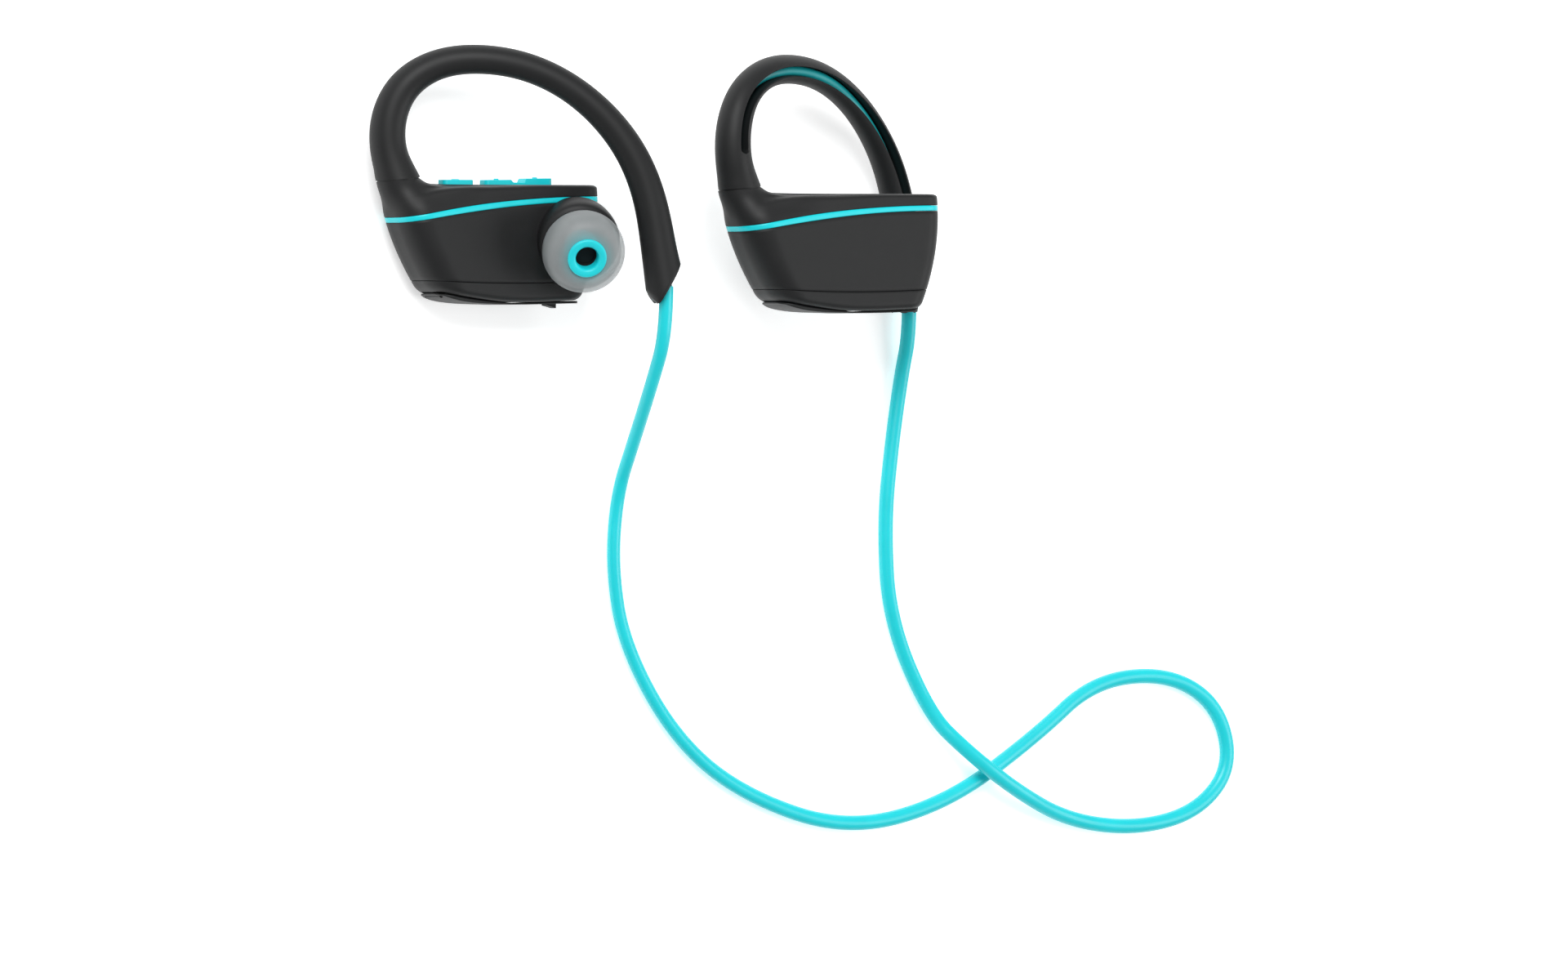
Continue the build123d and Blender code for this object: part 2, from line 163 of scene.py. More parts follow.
class Finish:
    """One material: its shader's constants, and the patterns that feed its sockets."""

    def __init__(self, name, constants=()):
        self.material = bpy.data.materials.new(name)
        self.material.use_nodes = True
        self.tree = self.material.node_tree
        self.shader = self.tree.nodes["Principled BSDF"]
        for socket, value in dict(constants).items():
            self.shader.inputs[socket].default_value = value

    def node(self, kind, **inputs):
        """Any other node: its sockets get values or links."""
        node = self.tree.nodes.new(kind)
        for key, value in inputs.items():
            slot = node.inputs[key]
            if isinstance(value, Value):
                self.tree.links.new(value.socket, slot)
            elif isinstance(value, bpy.types.NodeSocket):
                self.tree.links.new(value, slot)
            else:
                slot.default_value = value
        return node

    def place(self):
        """Object coordinates, in metres."""
        return self.tree.nodes.new("ShaderNodeTexCoord").outputs["Object"]

    def noise(self, scale, detail=2.0, roughness=0.5):
        """Cloudy pattern from 0 to 1; scale is how many blobs there are in a metre."""
        node = self.node("ShaderNodeTexNoise", Vector=self.place(), Scale=scale, Detail=detail,
                         Roughness=roughness)
        return Value(self.tree, node.outputs["Fac"])

    def feed(self, socket, value):
        """Links a value or a socket to the shader."""
        source = value.socket if isinstance(value, Value) else value
        self.tree.links.new(source, self.shader.inputs[socket])

    def vectors(self, operation, first, second=None):
        """Vector Math of a socket and a fixed vector."""
        node = self.tree.nodes.new("ShaderNodeVectorMath")
        node.operation = operation
        self.tree.links.new(first, node.inputs[0])
        if second is not None:
            node.inputs[1].default_value = tuple(second)
        return node.outputs["Value" if operation == "LENGTH" else "Vector"]

    def colour_between(self, factor, first, second):
        """Colour that goes from first to second with the factor."""
        node = self.tree.nodes.new("ShaderNodeMix")
        node.data_type = "RGBA"
        self.tree.links.new(factor.socket, node.inputs[0])
        for slot, colour in ((node.inputs[6], first), (node.inputs[7], second)):
            if isinstance(colour, bpy.types.NodeSocket):
                self.tree.links.new(colour, slot)
            else:
                slot.default_value = (*colour, 1.0)
        return node.outputs[2]

    def mottled(self, pattern, colour, low, high):
        """One colour, darker and lighter by two shares of itself with the pattern."""
        colour = np.array(colour)
        return self.colour_between(pattern, tuple(colour * low), tuple(np.minimum(colour * high, 1)))

    def bump(self, height, distance):
        """Small relief from a height pattern; distance in metres."""
        node = self.node("ShaderNodeBump", Height=height, Distance=distance)
        self.feed("Normal", node.outputs["Normal"])


# ---- finishes
FINISHES = {}


def finish(name):
    """The material of that name, made once."""
    if name not in FINISHES:
        maker, *settings = MAKERS[name]
        FINISHES[name] = maker(name, *settings)
    return FINISHES[name]


def tint(name):
    """One of the colours that the panel shows, as red, green and blue."""
    return tuple(getattr(bpy.context.scene.earphone_colours, name))[:3]


def moulded(name, colour, clouds, grain, tones, sheen, relief, constants):
    """Moulded surface: clouds change its tone and sheen, and fine grain its sheen and relief.

    clouds and grain say how each noise is made, tones are shares of the colour, the roughness is
    sheen[0] + sheen[1] * clouds + sheen[2] * grain, and relief is in metres.
    """
    made = Finish(name, constants)
    clouds = made.noise(*clouds)
    grain = made.noise(*grain)
    made.feed("Base Color", made.mottled(clouds, tint(colour), *tones))
    made.feed("Roughness", sheen[0] + sheen[1] * clouds + sheen[2] * grain)
    made.bump(grain, relief)
    return made.material


def steel(name, colour, roughness):
    """Drawn steel: fine streaks in its gloss."""
    made = Finish(name, {"Metallic": 1.0})
    streaks = made.noise(3000.0, 3.0)
    made.feed("Base Color", made.mottled(streaks, colour, 0.9, 1.0))
    made.feed("Roughness", roughness + 0.15 * streaks)
    return made.material


def plain(name, colour, roughness):
    """A plain moulded or printed inner piece with a faint mottle."""
    made = Finish(name)
    clouds = made.noise(900.0, 3.0)
    made.feed("Base Color", made.mottled(clouds, colour, 0.85, 1.0))
    made.feed("Roughness", roughness + 0.1 * clouds)
    return made.material


# painted glow in the domes: the core's edge, and how far beyond it the painted cyan fades out
CORE_EDGE = 0.0031
PAINTED_GLOW_WIDTH = 0.0027


def dome_silicone(name, side):
    """Translucent grey silicone with a painted cyan glow near the axis, where the core backs it: the core's
    light through the silicone, painted into its colour.
    """
    made = Finish(name, {"Specular IOR Level": 0.45, "Coat Weight": 0.1, "Coat Roughness": 0.35,
                         "Alpha": 0.48})
    middle = to_world(POD_MIDDLE, side)
    axis = unit(to_world(POD_MIDDLE + NOZZLE_AXIS, side) - middle)
    from_middle = made.vectors("SUBTRACT", made.place(), middle)
    radius = Value(made.tree, made.vectors("LENGTH", made.vectors("CROSS_PRODUCT", from_middle, axis)))
    # share of painted cyan glow: whole within the core's edge, none a glow's width beyond it
    near = (1.0 - (radius - CORE_EDGE) * (1 / PAINTED_GLOW_WIDTH)).clipped()
    clouds = made.noise(600.0, 2.0)
    grey = np.array(tint("dome"))
    # cyan of the painted glow
    cyan = np.array(tint("accent")) * 0.75 + grey * 0.25
    cloudy = made.mottled(clouds, grey, 0.93, 1.07)
    made.feed("Base Color", made.colour_between(near * near * 0.6, cloudy, tuple(cyan)))
    made.feed("Roughness", 0.42 + 0.1 * clouds)
    made.bump(made.noise(5000.0), 0.000008)
    return made.material


# what makes each finish, and what it is given after the name
MAKERS = {
    "soft_touch": (moulded, "shell", (260.0, 3.0), (9000.0, 2.0, 0.6), (0.88, 1.12), (0.44, 0.1, 0.05),
                   0.000012, {"Specular IOR Level": 0.3}),
    "cyan_moulded": (moulded, "accent", (400.0,), (7000.0,), (0.94, 1.05), (0.34, 0.0, 0.08), 0.000006,
                     {"Specular IOR Level": 0.35, "Coat Weight": 0.12, "Coat Roughness": 0.25}),
    "cord_silicone": (moulded, "accent", (180.0,), (5200.0,), (0.93, 1.06), (0.36, 0.1, 0.0), 0.000008,
                      {"Specular IOR Level": 0.35, "Coat Weight": 0.25, "Coat Roughness": 0.22,
                       "Subsurface Weight": 0.12, "Subsurface Scale": 0.001}),
    "tip_core_silicone": (moulded, "accent", (500.0,), (6000.0,), (0.92, 1.04), (0.4, 0.12, 0.0), 0.000008,
                          {"Specular IOR Level": 0.5, "Subsurface Weight": 0.15, "Subsurface Scale": 0.001}),
    "left_dome_silicone": (dome_silicone, "left"),
    "right_dome_silicone": (dome_silicone, "right"),
    "spring_steel": (steel, (0.5, 0.5, 0.52), 0.3),
    "dark_steel": (steel, (0.03, 0.03, 0.032), 0.5),
    "bright_steel": (steel, (0.75, 0.75, 0.77), 0.2),
    "board": (plain, (0.02, 0.2, 0.08), 0.4),
    # painted shade: the cord's cyan at half brightness, for the cable lying deep in the hook's channel
    "cable_jacket": (plain, (0.003, 0.3, 0.32), 0.35),
    "film": (plain, (0.5, 0.45, 0.35), 0.35),
    "seal": (plain, (0.4, 0.42, 0.43), 0.6),
    "wrap": (plain, (0.45, 0.47, 0.5), 0.3),
}


# ---- placing and mesh making
def to_world(points, side):
    """Millimetres in an earpiece's frame to metres in the row frame; the right one is mirrored."""
    low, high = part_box(side + "_shell_screws")
    middle = (np.array(low) + np.array(high)) / 2
    mirror = np.array([1.0, 1.0, 1.0 if side == "left" else -1.0])
    seam = middle - np.array(SCREWS_MIDDLE) * mirror * MM
    return seam + np.asarray(points, float) * mirror * MM


def grid_faces(rows, columns, wrap_rows, wrap_columns):
    """Quads of a grid of points, row by row, as one array of corner numbers."""
    i = np.arange(rows if wrap_rows else rows - 1)
    j = np.arange(columns if wrap_columns else columns - 1)
    i, j = [a.ravel() for a in np.meshgrid(i, j, indexing="ij")]
    i_next = (i + 1) % rows
    j_next = (j + 1) % columns
    return np.stack([i * columns + j, i * columns + j_next, i_next * columns + j_next,
                     i_next * columns + j], axis=1)


def mesh_object(name, points, side, quads, caps=(), material=None):
    """A closed mesh with its faces turned outwards: the sign of its volume says which way they are.

    Points are in an earpiece's frame, or already in metres in the frame where there is no side.
    """
    points = points.reshape(-1, 3)
    if side:
        points = to_world(points, side)
    faces = quads.tolist() + [list(cap) for cap in caps]
    triangles = np.array([(f[0], f[k], f[k + 1]) for f in faces for k in range(1, len(f) - 1)])
    a, b, c = (points[triangles[:, k]] for k in range(3))
    if np.einsum("ij,ij->i", a, np.cross(b, c)).sum() < 0:
        faces = [face[::-1] for face in faces]
    mesh = bpy.data.meshes.new(name)
    mesh.from_pydata(points.tolist(), [], faces)
    mesh.polygons.foreach_set("use_smooth", np.ones(len(faces), bool))
    mesh.validate()
    mesh.update()
    made = bpy.data.objects.new(name, mesh)
    bpy.context.scene.collection.objects.link(made)
    if material:
        mesh.materials.append(finish(material))
    return made


def ring_solid(name, points, side, material):
    """Solid whose grid closes both ways, like a tyre: points is (round, across, 3)."""
    quads = grid_faces(*points.shape[:2], True, True)
    return mesh_object(name, points, side, quads, material=material)


def bar_solid(name, points, side, material):
    """Solid of closed sections one after another, with a flat cap on each end: (along, round, 3)."""
    rows, columns, _ = points.shape
    quads = grid_faces(rows, columns, False, True)
    last = (rows - 1) * columns
    caps = [tuple(range(columns))[::-1], tuple(range(last, last + columns))]
    return mesh_object(name, points, side, quads, caps, material)


def settle(made, sharp, body, slot, *nodes):
    """Rides on its body and stands for its CAD nodes.

    Edges that turn by more than sharp degrees stay crisp, and everything else is smooth. The slot is not
    used.
    """
    made.data.set_sharp_from_angle(angle=math.radians(sharp))
    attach(made, body)
    if nodes:
        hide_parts(*nodes)


# ---- curves
def travelled(points):
    """Distance along a line of points, from its start to each of them."""
    return np.concatenate([[0], np.cumsum(np.linalg.norm(np.diff(points, axis=0), axis=1))])


def soft_curve(corners, count):
    """Quadratic B-spline with clamped ends; corners is (corner, ..., 3) and so is the result."""
    corners = np.asarray(corners, float)
    spans = len(corners) - 2
    t = np.linspace(0, spans, count)
    span = np.minimum(t.astype(int), spans - 1)
    u = t - span
    knots = np.concatenate([[0, 0], np.arange(spans + 1), [spans, spans]]).astype(float)
    shape = (-1,) + (1,) * (corners.ndim - 1)
    k = span + 2
    left = (t - knots[k - 1]) / (knots[k + 1] - knots[k - 1])
    right = (t - knots[k]) / (knots[k + 2] - knots[k])
    left, right, u = (w.reshape(shape) for w in (left, right, u))
    first = mix(corners[span], corners[span + 1], left)
    return mix(first, mix(corners[span + 1], corners[span + 2], right), u)


def through(points, count):
    """Natural cubic spline through the points, its parameter the distance between them."""
    points = np.asarray(points, float)
    at = travelled(points[:, :2])
    gaps = np.diff(at)
    size = len(points)
    matrix = np.eye(size)
    wanted = np.zeros_like(points)
    for k in range(1, size - 1):
        matrix[k, k - 1:k + 2] = gaps[k - 1], 2 * (gaps[k - 1] + gaps[k]), gaps[k]
        wanted[k] = 6 * ((points[k + 1] - points[k]) / gaps[k] - (points[k] - points[k - 1]) / gaps[k - 1])
    bend = np.linalg.solve(matrix, wanted)
    t = np.linspace(0, at[-1], count)
    k = np.clip(np.searchsorted(at, t, side="right") - 1, 0, size - 2)
    gap = gaps[k][:, None]
    a = (at[k + 1] - t)[:, None] / gap
    b = (t - at[k])[:, None] / gap
    curved = ((a ** 3 - a) * bend[k] + (b ** 3 - b) * bend[k + 1]) * gap ** 2 / 6
    return a * points[k] + b * points[k + 1] + curved


def mix(first, second, share):
    """From first to second as the share goes from 0 to 1."""
    return first * (1 - share) + second * share


def smooth_step(value, low, high):
    """0 below low, 1 above high, and an S-curve between."""
    t = np.clip((value - low) / (high - low), 0, 1)
    return t * t * (3 - 2 * t)


def drawn_in(distance, radius):
    """How far a round corner is drawn in, at a distance d inside its end: r - sqrt(r^2 - (r - d)^2)."""
    t = np.clip(distance / radius, 0, 1)
    return radius * (1 - np.sqrt(1 - (1 - t) ** 2))


def eased(low, high, count):
    """Numbers from low to high that lie closer together near both."""
    return low + (high - low) * (1 - np.cos(np.linspace(0, math.pi, count))) / 2


# ---- the housing's outer form
FRONT_R = 4.9
REAR_R = 3.1
CORNER_STEPS = 14
SIDE_STEPS = 40
END_STEPS = 10


def front_end(y):
    """Where the housing's front lies at a level: it runs back as it goes down."""
    depth = -y
    return -2.72 + 0.1254 * depth + 0.01475 * depth ** 2


def rear_end(y):
    """Where the housing's rear lies at a level: drawn in towards the bottom."""
    depth = -y
    return 37.39 + 0.1378 * depth - 0.01421 * depth ** 2


def section_marks():
    """Round a rounded rectangle: share of the front, way that the wall faces, and side, -1 to 1."""
    quarter = np.linspace(0, math.pi / 2, CORNER_STEPS)
    rows = []
    corners = ((0, 0, 1), (1, 1, 1), (2, 1, -1), (3, 0, -1))
    for (turn, front, side), (_, next_front, next_side) in zip(corners, corners[1:] + corners[:1]):
        for angle in quarter + turn * math.pi / 2:
            rows.append((front, math.cos(angle), math.sin(angle), side))
        steps = END_STEPS if turn % 2 else SIDE_STEPS
        facing = ((0, 1), (-1, 0), (0, -1), (1, 0))[turn]
        for share in np.arange(1, steps) / steps:
            rows.append((front + (next_front - front) * share, *facing, side + (next_side - side) * share))
    return np.array(rows, float)


MARKS = section_marks()


def wall_point(y, inset=0.0):
    """Points of the housing's wall; y has one row for each mark, and any number of columns.

    x = share * (front + r(1 + ex)) + (1 - share) * (rear - r(1 - ex)) and z = side * (half - r) + r * ez,
    with r the corner's radius and (ex, ez) the way that the wall faces.
    """
    shape = (-1,) + (1,) * (y.ndim - 1)
    share, ex, ez, side = (MARKS[:, k].reshape(shape) for k in range(4))
    r_front = FRONT_R - inset
    r_rear = REAR_R - inset
    half = HALF_DEPTH - inset
    front = front_end(y) + inset
    rear = rear_end(y) - inset
    x = mix(rear - r_rear * (1 - ex), front + r_front * (1 + ex), share)
    radius = mix(r_rear, r_front, share)
    z = side * (half - radius) + radius * ez
    return np.stack([x, y + 0 * x, z], axis=-1)


def on_line(line, inset=0.0, rise=0.0):
    """The loop where the housing's wall meets a line drawn across it, line giving y from x."""
    y = np.full(len(MARKS), line(15.0) + rise)
    for _ in range(4):
        y = line(wall_point(y, inset)[:, 0]) + rise
    return wall_point(y, inset)


def band_line(x):
    """Middle of the cyan line: level in front, then rising to the rear ever more gently."""
    t = np.maximum(x + 5.5, 0) / 43.5
    eased = (np.sqrt(t ** 2 + 0.01) - 0.1) / 0.905
    return -7.5 + 4.2 * (1 - (1 - eased) ** 2.1)


def seam_line(x):
    """Lower seam, a little hollow in the middle."""
    return -17.45 - 0.55 * (1 - ((x - 19.0) / 17.0) ** 2)


def underside_line(x):
    """Lower edge of the bezel, falling in its front half and rising a little at the rear."""
    return -19.3 - 2.0 * smooth_step(x, 0.0, 21.0) + 0.4 * smooth_step(x, 22.0, 35.0)


EDGE = 0.08
SEAM_HALF = 0.03


def half_band(x):
    """Half of the cyan line's thickness, a little more where it slants."""
    return 0.46 + 0.07 * np.exp(-((x - 12.0) / 9.0) ** 2)


# ---- shells
def shell_ring(name, side, lower, upper, material, rows=12):
    """Ring of the housing between two lines, with its thickness and a small bevel at each edge.

    Row k of the outside lies on lower + k/n * (upper - lower); the inside is the same wall drawn in.
    """
    loops = []
    for share in np.linspace(0, 1, rows):
        loops.append(on_line(lambda x: mix(lower(x) + EDGE, upper(x) - EDGE, share)))
    loops += [on_line(upper, EDGE), on_line(upper, WALL), on_line(lower, WALL), on_line(lower, EDGE)]
    return ring_solid(name, np.stack(loops, axis=1), side, material)


def band_top(x):
    """Lower edge of the hood."""
    return band_line(x) + half_band(x) + SEAM_HALF


def band_bottom(x):
    """Upper edge of the lower shell."""
    return band_line(x) - half_band(x) - SEAM_HALF


def top_line(x):
    """Level of the housing's top edge: lowest under the power key, a little higher at the rear."""
    return -1.2 + 0.36 * smooth_step(x, 13.0, 27.0)


def neck_ring(inset, drop):
    """Oval on the tilted seam; its points answer the section's marks by their bearing."""
    outline = wall_point(np.full(len(MARKS), TOP_Y))
    bearing = np.arctan2(outline[:, 2], outline[:, 0] + 0.6)
    x = (NECK_RX - inset) * np.cos(bearing)
    z = (NECK_RZ - inset) * np.sin(bearing)
    return np.stack([x, SEAM_TILT * x - drop, z], axis=-1)


# how far up the hood's front, and how much of the neck's form it has there
NECK_MIX = ((0.14, 0.06), (0.3, 0.22), (0.46, 0.44), (0.62, 0.67), (0.77, 0.86), (0.9, 0.97))
DOWN_NECK = np.array([0.2, -1.0, 0.0])
SPIGOT = 0.16


def hood(side):
    """Upper shell: from the cyan line up the wall, over the top edge and into the neck.

    Each line of the grid is a quadratic B-spline from the wall to the neck's ring. In front its
    corners pass from the wall to the neck's own form drawn on downwards; behind, they go up the
    wall, round the top edge, along the top and up into the neck. The two sets mix along the housing.
    """
    start = on_line(band_top, 0.0, EDGE)
    ring = neck_ring(0.0, SEAM_GAP)
    rim = on_line(top_line)
    inward = np.stack([-MARKS[:, 1], np.zeros(len(MARKS)), -MARKS[:, 2]], axis=-1)
    outward = ring / np.linalg.norm(ring[:, [0, 2]], axis=1)[:, None]
    outward[:, 1] = 0

    front = [start]
    for share, neck_share in NECK_MIX:
        level = mix(start[:, 1], ring[:, 1], share)
        neck = ring + DOWN_NECK * (ring[:, 1] - level)[:, None]
        front.append(mix(wall_point(level), neck, neck_share))
    front = np.stack(front + [ring])

    reach = np.maximum(((ring - rim) * inward).sum(1), 0.0)[:, None]
    shelf = rim + inward * np.minimum(2.6, 0.55 * reach)
    below = wall_point(np.maximum(rim[:, 1] - 2.2, 0.35 * rim[:, 1] + 0.65 * start[:, 1]))
    foot = ring + outward - np.array([0.0, 0.8, 0.0])
    flat = ring + outward * 3.2
    flat[:, 1] = rim[:, 1]
    near = smooth_step(np.linalg.norm((shelf - ring)[:, [0, 2]], axis=1), 1.5, 5.0)[:, None]
    flat = mix((shelf + foot) / 2, flat, near)
    rear = np.stack([start, (start + below) / 2, below, rim, shelf, flat, foot, ring])

    back = smooth_step(rim[:, 0], -1.0, 13.0)[None, :, None]
    outside = soft_curve(mix(front, rear, back), 46)
    inside = np.stack([
        neck_ring(SPIGOT, SEAM_GAP + 0.06), neck_ring(SPIGOT, -0.5), neck_ring(WALL, -0.5),
        neck_ring(WALL, 2.6), wall_point(np.full(len(MARKS), -3.4), WALL + 0.9), on_line(band_top, WALL),
        on_line(band_top, EDGE)])
    loops = np.concatenate([outside, inside]).transpose(1, 0, 2)
    return ring_solid(side + "_hood", loops, side, "soft_touch")


def rounded_bar(x, half, low, high, radius, steps=6):
    """Sections one after another along x: rectangles in z and y with round corners.

    x, half, low, high and radius are arrays with one value for each section.
    """
    quarter = np.linspace(0, math.pi / 2, steps)
    angle = np.concatenate([quarter + k * math.pi / 2 for k in range(4)])
    side = np.repeat([1.0, -1.0, -1.0, 1.0], steps)
    level = np.repeat([1.0, 1.0, -1.0, -1.0], steps)
    x, half, low, high, radius = (np.asarray(a, float)[:, None] for a in (x, half, low, high, radius))
    z = side * (half - radius) + radius * np.cos(angle)
    middle = (low + high) / 2
    y = middle + level * ((high - low) / 2 - radius) + radius * np.sin(angle)
    return np.stack([x + 0 * z, y, z], axis=-1)


def key_bar(x_low, x_high, half, low, top, corner=0.85, edge=0.16, count=60):
    """A key: a bar along x with round corners and rounded top edges; top is a level, or gives y from x."""
    x = eased(x_low, x_high, count)
    d = np.minimum(x - x_low, x_high - x)
    high = top(x) if callable(top) else top
    return rounded_bar(x, half - drawn_in(d, corner), low + 0 * x, high - drawn_in(d, edge),
                       edge * 0.98 + 0 * x)


def evaluated_mesh(made):
    """Mesh of an object as its modifiers or its curve make it."""
    graph = bpy.context.evaluated_depsgraph_get()
    return bpy.data.meshes.new_from_object(made.evaluated_get(graph))


def cut_away(made, cutter):
    """Takes the cutter's space out of a piece, and removes the cutter."""
    modifier = made.modifiers.new("cut", "BOOLEAN")
    modifier.operation = "DIFFERENCE"
    modifier.solver = "EXACT"
    modifier.object = cutter
    mesh = evaluated_mesh(made)
    made.modifiers.clear()
    made.data = mesh
    bpy.data.objects.remove(cutter, do_unlink=True)


# ---- controls
POWER_X = (8.5, 14.5)
ROCKER_X = (16.8, 30.2)
LOBES_END_X = (22.1, 24.7)
KEY_HALF = 1.45
KEY_BASE = -2.4
KEY_GAP = 0.16
POWER_MARK_X = 11.4
SOFTER_MARK_X = 19.6
LOUDER_MARK_X = 27.3


def rocker_top(x):
    """Two lobes, the rear one higher, with a low bridge between them."""
    first = 1 - smooth_step(x, LOBES_END_X[0] - 0.25, LOBES_END_X[0] + 0.25)
    second = smooth_step(x, LOBES_END_X[1] - 0.15, LOBES_END_X[1] + 0.15)
    return -0.41 + (0.44 + 0.03 * (x - 19.0) / 3) * first + (0.72 + 0.03 * (x - 27.0) / 3) * second


def raised_mark(name, middle, length, across, level, height):
    """Small raised bar on a key: length along the key and across it."""
    bar = key_bar(middle - length / 2, middle + length / 2, across / 2, level - 0.3, level + height, 0.16,
                  0.07, 12)
    return bar_solid(name, bar, "left", "cyan_moulded")


# ---- driver pod and ear tip
def turned(name, profile, side, material, steps=72):
    """Solid of revolution about the nozzle's axis; profile is (radius, distance) and closes on itself
    or begins and ends on the axis."""
    profile = np.asarray(profile, float)
    across = unit(np.cross(NOZZLE_AXIS, [0.0, 1.0, 0.0]))
    other = np.cross(NOZZLE_AXIS, across)
    angle = np.linspace(0, 2 * math.pi, steps, endpoint=False)[:, None, None]
    ring = np.cos(angle) * across + np.sin(angle) * other
    radius = profile[None, :, 0, None]
    distance = profile[None, :, 1, None]
    points = POD_MIDDLE + radius * ring + distance * NOZZLE_AXIS
    if profile[0, 0] > 0:
        return ring_solid(name, points, side, material)
    inner = points[:, 1:-1]
    rows, columns, _ = inner.shape
    ends = np.stack([points[0, 0], points[0, -1]])
    flat = np.concatenate([inner.reshape(-1, 3), ends])
    quads = grid_faces(rows, columns, True, False)
    first = len(flat) - 2
    last = columns - 1
    fans = [(first, k * columns, (k + 1) % rows * columns) for k in range(rows)]
    fans += [(first + 1, (k + 1) % rows * columns + last, k * columns + last) for k in range(rows)]
    return mesh_object(name, flat, side, quads, fans, material)


# ---- ear hook
HOOK_COUNT = 300
ARC_STEPS = 56
SLOT_START = 6.3
SLOT_HALF = 0.87
TAIL_LENGTH = 9.0
CABLE_START = 12


def hook_frame():
    """Middle line of the hook with its radius, and at each point the directions it is drawn with.

    Along is the line's own direction, outward lies in the hook's plane away from the ear, and
    medial stands square to that plane, towards the head.
    """
    line = through(HOOK_LINE, HOOK_COUNT)
    cos_turn = math.cos(HOOK_TURN)
    sin_turn = math.sin(HOOK_TURN)
    centre = np.stack([line[:, 0] * cos_turn, line[:, 1], line[:, 0] * sin_turn], axis=-1)
    along = unit(np.gradient(centre, axis=0))
    medial = np.array([-sin_turn, 0.0, cos_turn])
    outward = np.cross(medial, along)
    return centre, line[:, 2], along, outward, medial, travelled(centre)


def mouth_line(q):
    """How far the tail reaches past its middle: down to a blunt tip on the ear's side."""
    slant = -1.2 * q
    blunt = 2.16 + 1.47 * (q + 1.8)
    return (slant + blunt - np.sqrt((slant - blunt) ** 2 + 0.12)) / 2


def hook_sections():
    """C-shaped sections: round outside, a slot on the side away from the head, a round floor in it.

    q is along outward and w towards the head. The outside is an arc of radius r from the slot's one
    lip to the other; the inside goes down the slot's wall, round the channel and up again, with the
    same number of points. At the tail the sections are slanted into the mouth.
    """
    centre, radius, along, outward, medial, length = hook_frame()
    total = length[-1]
    opened = np.clip((length - SLOT_START) / 0.9, 0, 1)
    cleared = np.minimum(opened * 3, 1)
    half = (SLOT_HALF + 0.1 * smooth_step(length, 50, 62)) * np.sqrt(1 - (1 - opened) ** 2) + 0.004
    channel = (1.15 + 0.65 * smooth_step(length, total - 14, total - 6)) * cleared + 0.012
    radius = radius - 0.3 * smooth_step(length, total - 0.9, total) ** 2
    lip = 0.14 * cleared + 0.001
    gate = np.arcsin((half + lip) / radius)
    angle = np.linspace(gate, 2 * math.pi - gate, ARC_STEPS, axis=1)
    outer_q = radius[:, None] * np.sin(angle)
    outer_w = -radius[:, None] * np.cos(angle)
    brow = outer_w[:, :1] + lip[:, None]
    sunk = (1 - cleared) * (radius - 0.05)
    gate = np.arcsin(np.clip(half / np.maximum(channel, half + 0.004), 0, 0.98))
    angle = np.linspace(gate, 2 * math.pi - gate, ARC_STEPS - 4, axis=1)
    inner_q = channel[:, None] * np.sin(angle)
    inner_w = -channel[:, None] * np.cos(angle) - sunk[:, None]
    side = half[:, None]
    middle = (brow + inner_w[:, :1]) / 2
    inner_q = np.concatenate([side, side, inner_q, -side, -side], axis=1)
    inner_w = np.concatenate([brow, middle, inner_w, middle, brow], axis=1)
    q = np.concatenate([outer_q, inner_q[:, ::-1]], axis=1)
    w = np.concatenate([outer_w, inner_w[:, ::-1]], axis=1)
    turn = np.radians(-5 + 16 * smooth_step(length, 12, 26) - 9 * smooth_step(length, 40, 60))[:, None]
    q, w = q * np.cos(turn) + w * np.sin(turn), w * np.cos(turn) - q * np.sin(turn)
    share = np.clip((length - (total - TAIL_LENGTH)) / TAIL_LENGTH, 0, 1)[:, None] ** 1.5
    points = (centre[:, None, :] + q[..., None] * outward[:, None, :] + w[..., None] * medial
              + (share * mouth_line(q))[..., None] * along[:, None, :])
    flatwise = outward * [1, 0, 1]
    flatwise = flatwise / (flatwise ** 2).sum(1)[:, None]
    level = centre[:, None, :] + q[..., None] * flatwise[:, None, :] + w[..., None] * medial
    level[..., 1] = SEAM_TILT * level[..., 0] + SEAM_GAP + length[:, None]
    upright = smooth_step(length, 0.0, 4.0)[:, None, None]
    return mix(level, points, upright)


def hook_solid(side):
    """The sections joined up; each end is closed by a strip between its outside and its inside."""
    points = hook_sections()
    rows, columns, _ = points.shape
    quads = grid_faces(rows, columns, False, True)
    k = np.arange(ARC_STEPS - 1)
    start = np.stack([k, columns - 1 - k, columns - 2 - k, k + 1], axis=1)
    end = start[:, ::-1] + (rows - 1) * columns
    every = np.concatenate([quads, start, end])
    return mesh_object(side + "_hook", points, side, every, material="soft_touch")


def tube(centres, across, other, wide, high, steps=20):
    """Oval sections along a line: centre + wide cos(a) across + high sin(a) other."""
    angle = np.linspace(0, 2 * math.pi, steps, endpoint=False)[None, :, None]
    across, other = (np.broadcast_to(way, centres.shape)[:, None, :] for way in (across, other))
    return centres[:, None, :] + wide * np.cos(angle) * across + high * np.sin(angle) * other


def hook_cable():
    """Cable in the channel: near the slot at the crown, and as thick as the cord at the mouth."""
    centre, _, _, outward, medial, length = hook_frame()
    total = length[-1]
    rise = smooth_step(length, 19, 28) * (1 - smooth_step(length, 40, 50))
    centre = centre - medial * (0.6 * rise)[:, None] - outward * (0.25 * rise)[:, None]
    swell = smooth_step(length, total - 7, total - 2)[:, None, None]
    thin = tube(centre, outward, medial, 0.92, 0.92)
    thick = tube(centre, outward, medial, 1.28, 1.18)
    return mix(thin, thick, swell)[CABLE_START:]


